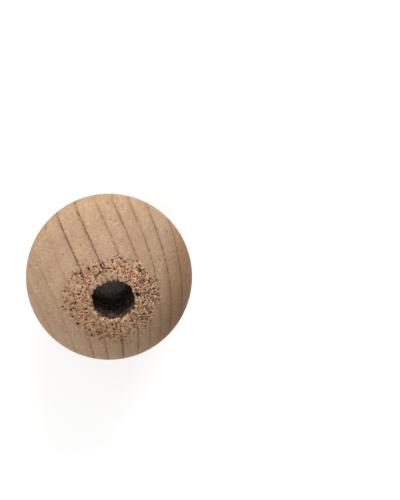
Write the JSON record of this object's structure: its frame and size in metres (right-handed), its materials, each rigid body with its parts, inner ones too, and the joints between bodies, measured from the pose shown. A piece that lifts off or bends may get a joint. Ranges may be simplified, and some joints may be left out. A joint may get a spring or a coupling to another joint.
{
  "type": "wooden bead",
  "caption": "Round turned hardwood bead with a straight hole through its middle for a cord, a thong or a dowel.",
  "frame": {"origin": "the ball's centre, halfway along the axis of the hole", "axes": "+Z along the axis of the hole, which is also the run of the grain; +X and +Y across the grain, and the ball is round about Z, so only the growth lines tell them apart"},
  "size_m": [0.0254, 0.0254, 0.0242],
  "materials": {
    "wood": "bare, sanded, without varnish"
  },
  "bodies": {
    "root": {"bead": "wood"}
  },
  "joints": []
}
